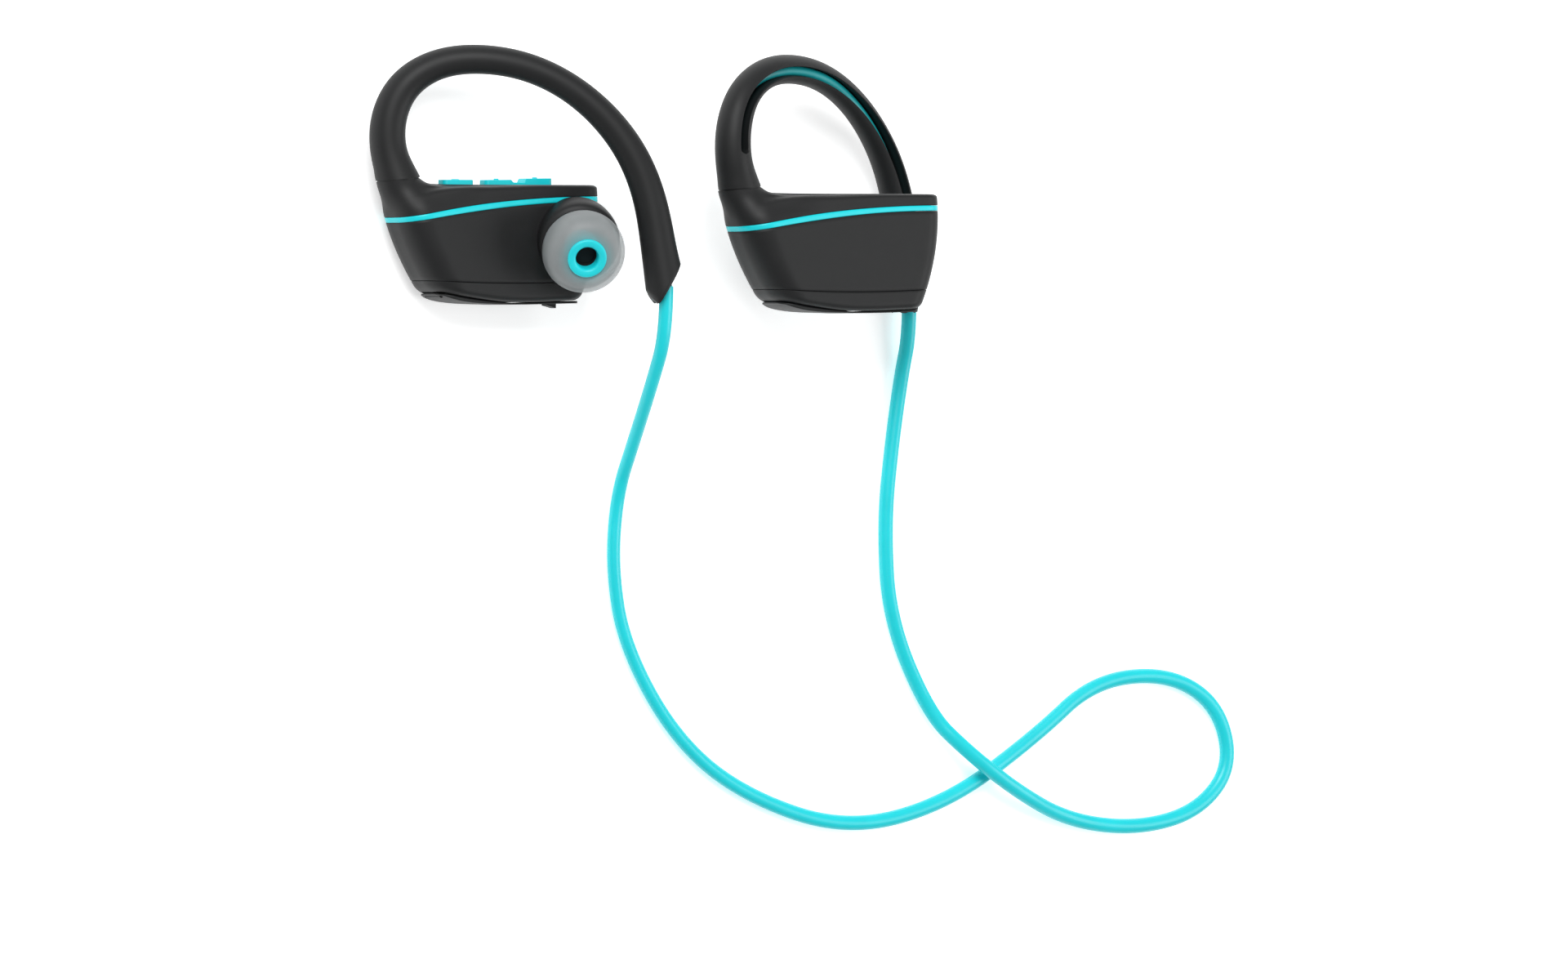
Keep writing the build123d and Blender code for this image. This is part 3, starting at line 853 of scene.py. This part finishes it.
def relief_sleeve():
    """Short black sleeve round the cord, deep in the tail."""
    centre, _, _, outward, medial, length = hook_frame()
    chosen = (length > length[-1] - 6.5) & (length < length[-1] - 3.0)
    outer = tube(centre[chosen], outward[chosen], medial, 1.76, 1.76, 24)
    inner = tube(centre[chosen], outward[chosen], medial, 1.24, 1.14, 24)
    return np.concatenate([outer, inner[::-1]]).transpose(1, 0, 2)


# ---- colours and sizes that a user would change
def colour(name, description, default):
    """A colour that the panel shows."""
    return bpy.props.FloatVectorProperty(
        name=name, description=description, default=default, min=0.0, max=1.0, subtype="COLOR")


def distance(name, description, default, low, high):
    """A distance that the panel shows, in metres."""
    return bpy.props.FloatProperty(
        name=name, description=description, default=default, min=low, max=high, subtype="DISTANCE",
        unit="LENGTH")


class EarphoneColours(bpy.types.PropertyGroup):
    """Colours of the earphones."""

    shell: colour("Shell", "Soft-touch black of shells and hooks", (0.010, 0.0105, 0.011))
    accent: colour("Accent", "Cyan of cord, line, keys and tip core", (0.005, 0.62, 0.68))
    dome: colour("Tip dome", "Grey of the soft ear tips", (0.37, 0.395, 0.40))
    floor: colour("Floor", "Pale floor under the earphones", (0.92, 0.92, 0.92))


class EarphoneSizes(bpy.types.PropertyGroup):
    """Sizes of the soft pieces and of the view."""

    cord_width: distance("Cord width", "Wider side of the neck cord's section", 0.0026, 0.001, 0.005)
    cord_height: distance("Cord height", "Narrower side of the neck cord's section", 0.0023, 0.001, 0.005)
    camera_distance: distance("Camera distance", "From the middle of the view to the camera", 6.0, 0.5, 10.0)
    key_light: bpy.props.FloatProperty(
        name="Key light", description="Power of the large soft light, in watts", default=7.0, min=0.0,
        max=200.0)


# ---- operators
class BuildOperator:
    """What the operators share."""

    bl_options = {"REGISTER", "UNDO"}

    def execute(self, context):
        self.build(context)
        return {"FINISHED"}


class EARPHONES_OT_housings(BuildOperator, bpy.types.Operator):
    """Builds the hoods, cyan lines, lower shells and bezels of both housings"""

    bl_idname = "earphones.housings"
    bl_label = "Housings"

    def build(self, context):
        for side in SIDES:
            top = hood(side)
            line = shell_ring(side + "_cyan_line", side, lambda x: band_line(x) - half_band(x),
                              lambda x: band_line(x) + half_band(x), "cyan_moulded", 4)
            body = shell_ring(side + "_housing", side, lambda x: seam_line(x) + SEAM_HALF, band_bottom,
                              "soft_touch", 24)
            rim = bezel(side)
            sharp = 50
            if side == "left":
                for low, high in (POWER_X, ROCKER_X):
                    pocket = key_bar(low - KEY_GAP, high + KEY_GAP, KEY_HALF + KEY_GAP, -4.4,
                                     1.0, 0.8, 0.05, 30)
                    cut_away(top, bar_solid("pocket", pocket, side, None))
                cut_away(rim, bar_solid("notch", hinge_notch(), side, None))
                sharp = 35
            settle(top, sharp, "neckband", "soft_touch_black", side + "_upper_shell")
            settle(line, 50, "neckband", "cyan_trim", side + "_trim_band")
            settle(body, 50, "neckband", "soft_touch_black", side + "_lower_shell")
            settle(rim, sharp, "neckband", "soft_touch_black", side + "_bottom_bezel")


BEZEL_R = 1.2


def bezel(side):
    """Rim under the lower seam: the wall turns in by a quarter round and meets the floor inside."""
    loops = [on_line(seam_line, EDGE, -SEAM_HALF)]
    for share in np.linspace(0, 1, 8):
        loops.append(on_line(lambda x: mix(seam_line(x) - SEAM_HALF - EDGE,
                                           underside_line(x) + BEZEL_R, share)))
    for turn in np.linspace(0.15, 1, 7) * math.pi / 2:
        loops.append(on_line(underside_line, BEZEL_R * (1 - math.cos(turn)), BEZEL_R * (1 - math.sin(turn))))
    loops += [on_line(underside_line, 3.0), on_line(underside_line, 3.0, BEZEL_R)]
    for inset, rise in ((2.1, -0.4), (2.1, 0.6), (1.28, 0.6), (1.28, -SEAM_HALF)):
        loops.append(on_line(seam_line, inset, rise))
    return ring_solid(side + "_bezel", np.stack(loops, axis=1), side, "soft_touch")


DOOR_FRONT_X = 6.1
DOOR_REAR_X = 34.2
DOOR_HALF = 4.9
FRONT_CORNER = 3.0
REAR_CORNER = 2.6
NOTCH_R = 1.35
TAB_X = (29.2, 31.1)
DOOR_HINGE = np.array([7.2, -20.15, 0.0])


def door_bottom(x):
    """Lower line of the plate: steep at its front, nearly level in the middle, rising at the rear."""
    return -19.75 - 1.93 * (1 - np.exp(-(x - DOOR_FRONT_X) / 3.2)) + 0.22 * smooth_step(x, 23.0, 34.0)


def door_sections():
    """Curved plate under the bezel: it follows the bezel above, and is bowed below."""
    x = eased(DOOR_FRONT_X, DOOR_REAR_X, 80)
    high = underside_line(x) - 0.1
    low = np.minimum(door_bottom(x), high - 0.3)
    d = np.minimum(x - DOOR_FRONT_X, DOOR_REAR_X - x)
    half = DOOR_HALF - drawn_in(d, np.where(x < 20.0, FRONT_CORNER, REAR_CORNER))
    low = high - (high - low) * (1 - drawn_in(d, 0.6))
    return rounded_bar(x, half, low, high, np.minimum(0.42, (high - low) * 0.47), 7)


def hinge_notch():
    """Room in the bezel for the front of the door as it turns: a low dome about the hinge line.

    At distance d from the line it is as wide as the door is at d in front of it, and
    sqrt(r^2 - d^2) high.
    """
    d = (NOTCH_R - 0.05) * np.sin(np.linspace(-1, 1, 40) * math.pi / 2)
    ahead = np.maximum(DOOR_HINGE[0] - DOOR_FRONT_X - np.abs(d), 0)
    half = DOOR_HALF + 0.2 - drawn_in(ahead, FRONT_CORNER)
    high = DOOR_HINGE[1] + np.sqrt(NOTCH_R ** 2 - d ** 2)
    return rounded_bar(DOOR_HINGE[0] + d, half, DOOR_HINGE[1] - 0.8 + 0 * d, high, 0.1 + 0 * d)


def cross_bar(radius, half):
    """Round bar across the earpiece on the door's hinge line."""
    ends = np.array([DOOR_HINGE + [0, 0, -half], DOOR_HINGE + [0, 0, half]])
    return tube(ends, [1.0, 0.0, 0.0], [0.0, 1.0, 0.0], radius, radius, 24)


class EARPHONES_OT_doors(BuildOperator, bpy.types.Operator):
    """Builds the left port door with its finger tab, and the right cover"""

    bl_idname = "earphones.doors"
    bl_label = "Port door and cover"

    def build(self, context):
        tab = key_bar(*TAB_X, 1.1, -22.3, -21.2, 0.3, 0.12, 24)
        slant = 0.5 * (TAB_X[1] - tab[..., 0]) / (TAB_X[1] - TAB_X[0])
        tab[..., 1] = np.where(tab[..., 1] < -21.7, tab[..., 1] + slant, tab[..., 1])
        door = bar_solid("left_door", door_sections(), "left", "soft_touch")
        settle(door, 40, "port_door", "soft_touch_black", "left_port_door")
        for name, points in (("left_door_tab", tab), ("left_door_barrel", cross_bar(0.42, 2.6))):
            settle(bar_solid(name, points, "left", "soft_touch"), 40, "port_door", "soft_touch_black")
        pin = bar_solid("left_hinge_pin", cross_bar(0.2, 3.0), "left", "dark_steel")
        settle(pin, 40, "neckband", "bright_steel", "left_door_pin")
        cover = bar_solid("right_cover", door_sections(), "right", "soft_touch")
        settle(cover, 40, "neckband", "soft_touch_black", "right_bottom_cover")


class EARPHONES_OT_keys(BuildOperator, bpy.types.Operator):
    """Builds the power key and the two-lobed volume rocker"""

    bl_idname = "earphones.keys"
    bl_label = "Keys"

    def build(self, context):
        power = key_bar(*POWER_X, KEY_HALF, KEY_BASE, 0.01)
        power = bar_solid("power_key", power, "left", "cyan_moulded")
        settle(power, 40, "power_button", "cyan_keys", "left_power_button")
        rocker = key_bar(*ROCKER_X, KEY_HALF, KEY_BASE, rocker_top, count=110)
        rocker = bar_solid("volume_key", rocker, "left", "cyan_moulded")
        settle(rocker, 40, "volume_rocker", "cyan_keys", "left_volume_rocker")
        settle(power_symbol(), 60, "power_button", "cyan_keys")
        stroke = raised_mark("power_stroke", POWER_MARK_X + 0.3, 0.75, 0.2, 0.0, 0.12)
        settle(stroke, 40, "power_button", "cyan_keys")
        for name, x, length, across, height in (
                ("softer_mark", SOFTER_MARK_X, 0.95, 0.26, 0.22),
                ("louder_mark", LOUDER_MARK_X, 0.95, 0.26, 0.2),
                ("louder_cross", LOUDER_MARK_X, 0.26, 0.95, 0.2)):
            mark = raised_mark(name, x, length, across, float(rocker_top(np.array(x))), height)
            settle(mark, 40, "volume_rocker", "cyan_keys")


def power_symbol():
    """Raised open ring on the power key."""
    angle = np.linspace(0.6, 2 * math.pi - 0.6, 40)
    outward = np.stack([np.cos(angle), np.zeros(40), np.sin(angle)], axis=-1)
    centre = 0.62 * outward + [POWER_MARK_X, 0.03, 0.0]
    sections = tube(centre, outward, [0.0, 1.0, 0.0], 0.11, 0.11, 10)
    return bar_solid("power_symbol", sections, "left", "cyan_moulded")


class EARPHONES_OT_hooks(BuildOperator, bpy.types.Operator):
    """Builds the ear hooks with their open slots, and the cables that lie in them"""

    bl_idname = "earphones.hooks"
    bl_label = "Ear hooks"

    def build(self, context):
        for side in SIDES:
            settle(hook_solid(side), 40, "neckband", "soft_touch_black", side + "_ear_hook")
            # the cable in the channel gets the cord's cyan darkened by painted shade
            cable = bar_solid(side + "_cable", hook_cable(), side, "cable_jacket")
            settle(cable, 60, "neckband", "cord_silicone", side + "_hook_cable")
            relief = ring_solid(side + "_relief", relief_sleeve(), side, "soft_touch")
            settle(relief, 40, "neckband", "soft_touch_black", side + "_strain_relief")


class EARPHONES_OT_tips(BuildOperator, bpy.types.Operator):
    """Builds the driver pods with their nozzles, and the silicone ear tips"""

    bl_idname = "earphones.tips"
    bl_label = "Pods and ear tips"

    def build(self, context):
        for side in SIDES:
            pod = turned(side + "_pod", pod_profile(), side, "soft_touch")
            settle(pod, 40, "neckband", "soft_touch_black", side + "_driver_pod")
            core = turned(side + "_core", core_profile(), side, "tip_core_silicone")
            settle(core, 50, side + "_ear_tip", "tip_core_silicone", side + "_tip_core")
            dome = turned(side + "_dome", dome_profile(), side, side + "_dome_silicone", 96)
            settle(dome, 60, side + "_ear_tip", "tip_dome_silicone", side + "_tip_dome")


def pod_profile():
    """Closed back, widest near its middle, rounding to a hollow nozzle with a small barb."""
    back = soft_curve([(3.0, -4.4), (5.8, -4.4), (6.8, -4.2), (7.2, -2.6), (7.35, -0.6), (7.35, 0.9),
                       (6.9, 1.9), (5.4, 2.4), (3.6, 2.45), (2.9, 2.5)], 44)
    nozzle = [(2.5, 2.6), (2.4, 6.6), (2.49, 7.0), (2.45, 7.7), (2.3, 8.0), (1.85, 8.0), (1.75, 7.85),
              (1.75, 4.2)]
    return [(0.0, -4.4)] + back.tolist() + nozzle + [(0.0, 4.2)]


def core_profile():
    """Cyan sleeve on the nozzle: a wide rounded mouth, and a bore that narrows beyond the nozzle."""
    mouth = soft_curve([(3.35, 9.4), (3.5, 10.15), (3.25, 10.42), (2.7, 10.45), (2.2, 10.35), (1.95, 9.9),
                        (1.93, 9.2)], 22)
    return [(3.02, 3.0), (3.02, 7.6)] + mouth.tolist() + [(1.93, 8.3), (2.52, 8.2), (2.52, 3.0)]


def dome_profile():
    """Soft mushroom: from the core's mouth out to the widest ring and back under, a thin wall."""
    outer = soft_curve([(3.4, 9.95), (4.2, 9.95), (5.6, 9.6), (6.8, 8.5), (7.25, 6.8), (7.22, 5.2),
                        (6.9, 3.9), (6.45, 3.0)], 34)
    inner = soft_curve([(6.2, 3.1), (6.5, 4.2), (6.7, 5.6), (6.6, 6.9), (6.0, 8.1), (5.0, 9.0), (3.4, 9.3),
                        (3.15, 9.2)], 24)
    return outer.tolist() + inner.tolist()


class EARPHONES_OT_cord(BuildOperator, bpy.types.Operator):
    bl_idname = "earphones.cord"
    bl_label = "Neck cord"

    def build(self, context):
        sizes = context.scene.earphone_sizes
        points = route_points()
        along = unit(np.gradient(points, axis=0))
        length = travelled(points)
        across = unit(np.cross(along, [0.0, 0.0, 1.0]))
        other = np.cross(across, along)
        turn = (0.5 * np.sin(length / length[-1] * 9.0) + 0.2)[:, None]
        first = across * np.cos(turn) + other * np.sin(turn)
        second = other * np.cos(turn) - across * np.sin(turn)
        sections = tube(points, first, second, sizes.cord_width / 2, sizes.cord_height / 2, 28)
        cord = bar_solid("neck_cord_tube", sections, None, "cord_silicone")
        settle(cord, 60, "neckband", "cord_silicone", "neck_cord")


def route_points():
    """The cord's middle line: a NURBS curve of order 3 through the route's ends, read as a mesh."""
    data = bpy.data.curves.new("cord_route", "CURVE")
    data.dimensions = "3D"
    data.resolution_u = 16
    spline = data.splines.new("NURBS")
    spline.points.add(len(CORD_ROUTE) - 1)
    for point, place in zip(spline.points, CORD_ROUTE):
        point.co = (*place, 1.0)
    spline.order_u = 3
    spline.use_endpoint_u = True
    carrier = bpy.data.objects.new("cord_route", data)
    bpy.context.scene.collection.objects.link(carrier)
    mesh = evaluated_mesh(carrier)
    points = np.array([vertex.co for vertex in mesh.vertices])
    bpy.data.objects.remove(carrier, do_unlink=True)
    bpy.data.meshes.remove(mesh)
    return points


INNER_FINISHES = {
    "board": ("left_circuit_board", "right_protection_board"),
    "seal": ("left_button_seal",),
    "wrap": ("right_battery_cell",),
    "film": ("left_driver_diaphragm", "right_driver_diaphragm"),
    "spring_steel": ("left_hook_wire", "right_hook_wire", "left_driver_basket", "right_driver_basket"),
    "dark_steel": ("left_nozzle_mesh", "right_nozzle_mesh"),
    "bright_steel": ("left_driver_magnet", "left_microphone", "left_radio_module",
                     "left_rocker_pin", "left_shell_screws", "left_tact_switches", "left_usb_socket",
                     "right_driver_magnet", "right_shell_screws"),
}


class EARPHONES_OT_inner_parts(BuildOperator, bpy.types.Operator):
    """Gives their materials to the inner parts that keep the frame's own shapes"""

    bl_idname = "earphones.inner_parts"
    bl_label = "Inner parts"

    def build(self, context):
        for name, nodes in INNER_FINISHES.items():
            material = finish(name)
            for node in nodes:
                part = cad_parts[node]
                part.data.materials.clear()
                part.data.materials.append(material)


VIEW_MIDDLE = np.array([0.02945, -0.05355, 0.0])
VIEW_WIDTH = 0.2747
VIEW_TURN = math.radians(30.0)


class EARPHONES_OT_stage(BuildOperator, bpy.types.Operator):
    """Builds the pale floor, the soft lights and the camera"""

    bl_idname = "earphones.stage"
    bl_label = "Stage, lights and camera"

    def build(self, context):
        sizes = context.scene.earphone_sizes
        scene = context.scene
        back = np.array([-math.sin(VIEW_TURN), 0.0, math.cos(VIEW_TURN)])
        right = np.array([math.cos(VIEW_TURN), 0.0, math.sin(VIEW_TURN)])
        place = VIEW_MIDDLE + back * sizes.camera_distance
        data = bpy.data.cameras.new("view")
        data.sensor_width = 36.0
        data.lens = 36.0 * sizes.camera_distance / VIEW_WIDTH
        camera = bpy.data.objects.new("view", data)
        scene.collection.objects.link(camera)
        camera.matrix_world = matrix(right, np.array([0.0, 1.0, 0.0]), back, place)
        scene.camera = camera
        scene.view_settings.view_transform = "Standard"
        scene.view_settings.look = "None"

        corners = [(3.0 * x, 3.0 * y, -0.0001) for x, y in ((-1, -1), (1, -1), (1, 1), (-1, 1))]
        mesh = bpy.data.meshes.new("floor")
        mesh.from_pydata(corners, [], [(0, 1, 2, 3)])
        floor = bpy.data.objects.new("floor", mesh)
        scene.collection.objects.link(floor)
        made = Finish("floor", {"Specular IOR Level": 0.1, "Emission Color": (1.0, 1.0, 1.0, 1.0),
                                "Emission Strength": 0.5})
        made.feed("Base Color", made.mottled(made.noise(6.0), tint("floor"), 0.995, 1.0))
        made.feed("Roughness", 0.85 + 0.1 * made.noise(40.0))
        mesh.materials.append(made.material)

        world = bpy.data.worlds.new("white_room")
        world.use_nodes = True
        sky = world.node_tree.nodes["Background"].inputs
        sky["Color"].default_value = (1.0, 1.0, 1.0, 1.0)
        sky["Strength"].default_value = 0.4
        scene.world = world
        self.area(scene, "key", (-0.35, 0.45, 0.75), 0.45, sizes.key_light)
        self.area(scene, "fill", (0.65, -0.15, 0.6), 0.5, sizes.key_light * 0.45)

    def area(self, scene, name, place, size, power):
        """Square soft light that faces the middle of the view."""
        light = bpy.data.lights.new(name, "AREA")
        light.size = size
        light.energy = power
        lamp = bpy.data.objects.new(name, light)
        scene.collection.objects.link(lamp)
        back = unit(np.array(place) - VIEW_MIDDLE)
        right = unit(np.cross([0.0, 1.0, 0.0], back))
        lamp.matrix_world = matrix(right, np.cross(back, right), back, place)


def matrix(right, up, back, place):
    """Where a camera or a lamp stands, from its three directions."""
    turned_to = np.eye(4)
    turned_to[:3, 0] = right
    turned_to[:3, 1] = up
    turned_to[:3, 2] = back
    turned_to[:3, 3] = place
    return Matrix(turned_to.tolist())


# ---- panel and registration
OPERATORS = (
    EARPHONES_OT_stage, EARPHONES_OT_cord, EARPHONES_OT_housings, EARPHONES_OT_doors, EARPHONES_OT_keys,
    EARPHONES_OT_hooks, EARPHONES_OT_tips, EARPHONES_OT_inner_parts,
)


class EARPHONES_PT_panel(bpy.types.Panel):
    """Lists the colours, the sizes and the operators"""

    bl_idname = "EARPHONES_PT_panel"
    bl_label = "Neckband earphones"
    bl_space_type = "VIEW_3D"
    bl_region_type = "UI"
    bl_category = "Earphones"

    def draw(self, context):
        layout = self.layout
        for group in (context.scene.earphone_colours, context.scene.earphone_sizes):
            box = layout.box()
            for name in type(group).__annotations__:
                box.prop(group, name)
        for operator in OPERATORS:
            layout.operator(operator.bl_idname)


CLASSES = (EarphoneColours, EarphoneSizes, *OPERATORS, EARPHONES_PT_panel)


def register():
    for made in CLASSES:
        bpy.utils.register_class(made)
    bpy.types.Scene.earphone_colours = bpy.props.PointerProperty(type=EarphoneColours)
    bpy.types.Scene.earphone_sizes = bpy.props.PointerProperty(type=EarphoneSizes)


def unregister():
    del bpy.types.Scene.earphone_sizes
    del bpy.types.Scene.earphone_colours
    for made in reversed(CLASSES):
        bpy.utils.unregister_class(made)


def main():
    register()
    bpy.ops.earphones.stage()
    bpy.ops.earphones.cord()
    bpy.ops.earphones.housings()
    bpy.ops.earphones.doors()
    bpy.ops.earphones.keys()
    bpy.ops.earphones.hooks()
    bpy.ops.earphones.tips()
    bpy.ops.earphones.inner_parts()


if __name__ == "__main__":
    main()
